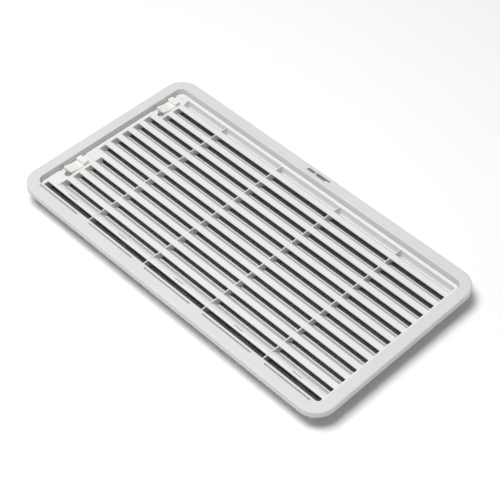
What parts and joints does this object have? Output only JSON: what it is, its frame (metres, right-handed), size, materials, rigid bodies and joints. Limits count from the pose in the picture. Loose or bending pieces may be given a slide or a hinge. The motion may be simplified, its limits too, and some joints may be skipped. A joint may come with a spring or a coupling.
{
  "type": "louvred ventilation grille",
  "caption": "Flanged wall ventilation grille with a sunken louvred insert, an insect screen behind it and slide locks at one end.",
  "frame": {"origin": "under the middle of the flange, in the plane of the collar's rear edge, on which the grille rests when it lies on its back", "axes": "+X along the long side towards the hinge end, +Y towards the upper long side as mounted, +Z out of the louvred face"},
  "size_m": [0.522, 0.288, 0.031],
  "materials": {
    "frame_plastic": "fine-grained moulded white plastic",
    "insert_plastic": "fine-grained moulded white plastic",
    "slide_plastic": "smooth warm-white plastic",
    "ring_plastic": "moulded light grey plastic",
    "screen_mesh": "dark fine mesh with open cells",
    "seal_rubber": "cellular rubber strip",
    "steel": "zinc-plated steel"
  },
  "bodies": {
    "frame": {"mounting_frame": "frame_plastic", "sealing_strip": "seal_rubber"},
    "insert": {"louvre_insert": "insert_plastic", "insect_screen": "screen_mesh", "screen_frame": "ring_plastic", "screen_screw_01": "steel", "screen_screw_02": "steel", "screen_screw_03": "steel", "screen_screw_04": "steel", "screen_screw_05": "steel", "screen_screw_06": "steel", "screen_screw_07": "steel", "screen_screw_08": "steel", "screen_screw_09": "steel", "screen_screw_10": "steel", "screen_screw_11": "steel", "screen_screw_12": "steel"},
    "slide_upper": {"slide_lock_upper": "slide_plastic", "lock_clip_upper": "steel"},
    "slide_lower": {"slide_lock_lower": "slide_plastic", "lock_clip_lower": "steel"}
  },
  "joints": [
    {"name": "insert_hinge", "type": "hinge", "parent": "frame", "child": "insert", "pos_m": [0.245, 0.0009, 0.0223], "axis": [0, 1, 0], "range_deg": [0, 30]},
    {"name": "slide_upper_travel", "type": "slide", "parent": "insert", "child": "slide_upper", "axis": [0, 1, 0], "range_m": [0, 0.007]},
    {"name": "slide_lower_travel", "type": "slide", "parent": "insert", "child": "slide_lower", "axis": [0, 1, 0], "range_m": [0, 0.007]}
  ]
}
